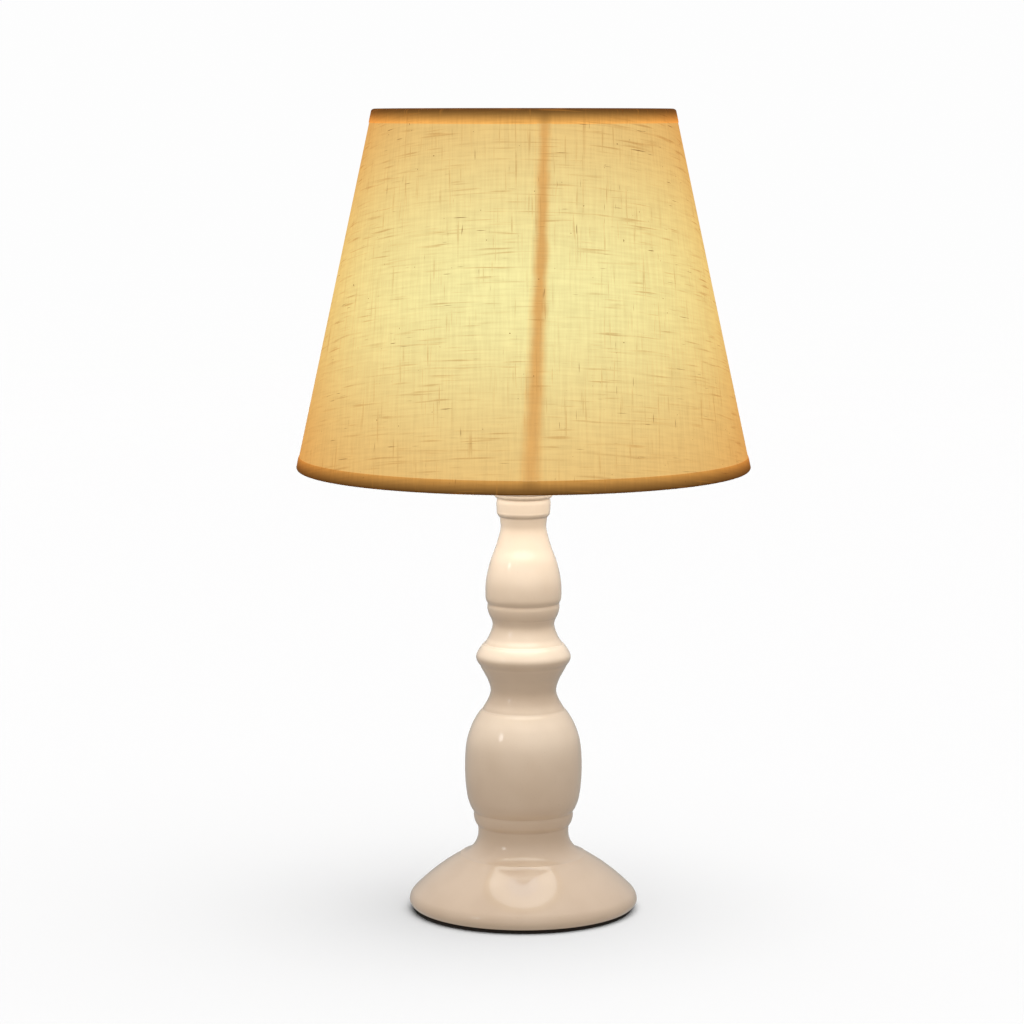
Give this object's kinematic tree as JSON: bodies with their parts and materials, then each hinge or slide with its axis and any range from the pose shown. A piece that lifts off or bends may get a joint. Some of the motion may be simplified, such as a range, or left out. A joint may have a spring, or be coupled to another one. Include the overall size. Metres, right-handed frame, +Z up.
{
  "type": "table lamp with shade",
  "caption": "Table lamp with a turned, lacquered column on a flared foot, an edison-screw lampholder with push-bar switch and a tapered linen shade.",
  "frame": {"origin": "on the table under the lamp's axis, at the bottom of the foot pad", "axes": "+Z up along the column; -Y towards the front, +Y towards the cord bush; +X to the right"},
  "size_m": [0.2258, 0.2258, 0.4],
  "materials": {
    "lacquered_wood": "gloss cream lacquer",
    "foam_pad": "matt foam",
    "cast_weight": "as cast",
    "zinc_steel": "zinc plated",
    "brass_contact": "pressed",
    "nickel_plate": "nickel plated",
    "black_plastic": "fine matt moulding",
    "white_plastic": "moulded",
    "porcelain": "unglazed",
    "black_insulator": "fused black glass",
    "brown_lead": "extruded",
    "blue_lead": "extruded",
    "opal_glass": "opal",
    "clear_glass": "clear",
    "led_filament": "phosphor coated",
    "linen_cloth": "slubbed plain-weave linen",
    "hem_cloth": "folded linen band",
    "liner_film": "matt laminate",
    "white_wire": "white epoxy"
  },
  "bodies": {
    "stand": {"base_pad": "foam_pad", "foot": "lacquered_wood", "base_weight": "cast_weight", "base_washer": "zinc_steel", "base_nut": "zinc_steel", "cord_bush": "black_plastic", "threaded_tube": "zinc_steel", "foot_band": "lacquered_wood", "belly": "lacquered_wood", "waist": "lacquered_wood", "middle_ring": "lacquered_wood", "spool": "lacquered_wood", "pear": "lacquered_wood", "neck_collar": "lacquered_wood", "column_cap": "lacquered_wood", "column_nut": "zinc_steel", "lead_live": "brown_lead", "lead_neutral": "blue_lead", "holder_cap": "black_plastic", "terminal_live": "brass_contact", "terminal_neutral": "brass_contact", "contact_base": "porcelain", "centre_contact": "brass_contact", "holder_shell": "black_plastic", "screw_sleeve": "brass_contact"},
    "switch": {"switch_bar": "white_plastic"},
    "bulb_foot": {"bulb_tip": "nickel_plate"},
    "bulb": {"bulb_insulator": "black_insulator", "bulb_cap": "nickel_plate", "bulb_glass": "opal_glass", "bulb_stem": "clear_glass", "filament_1": "led_filament", "filament_2": "led_filament", "filament_3": "led_filament", "filament_4": "led_filament"},
    "shade": {"shade_cloth": "linen_cloth", "shade_liner": "liner_film", "bottom_hem": "hem_cloth", "top_hem": "hem_cloth", "lap_seam": "linen_cloth", "bottom_wire": "white_wire", "top_wire": "white_wire", "carrier_ring": "white_wire", "carrier_arm_1": "white_wire", "carrier_arm_2": "white_wire", "carrier_arm_3": "white_wire"},
    "shade_nut": {"ring_nut": "black_plastic"}
  },
  "joints": [
    {"name": "switch_push", "type": "slide", "parent": "stand", "child": "switch", "axis": [-1, 0, 0], "range_m": [0, 0.006]},
    {"name": "shade_lift", "type": "slide", "parent": "stand", "child": "shade", "axis": [0, 0, 1], "range_m": [0, 0.2]},
    {"name": "nut_turn", "type": "hinge", "parent": "shade", "child": "shade_nut", "pos_m": [0, 0, 0.251], "axis": [0, 0, 1], "range_deg": [0, 1080]},
    {"name": "bulb_rise", "type": "slide", "parent": "stand", "child": "bulb_foot", "axis": [0, 0, 1], "range_m": [0, 0.0092]},
    {"name": "bulb_turn", "type": "hinge", "parent": "bulb_foot", "child": "bulb", "pos_m": [0, 0, 0.26], "axis": [0, 0, 1], "range_deg": [0, 900]}
  ],
  "couplings": [
    {"joint": "bulb_rise", "follows": "bulb_turn", "m_per_rad": 0.00057773}
  ]
}
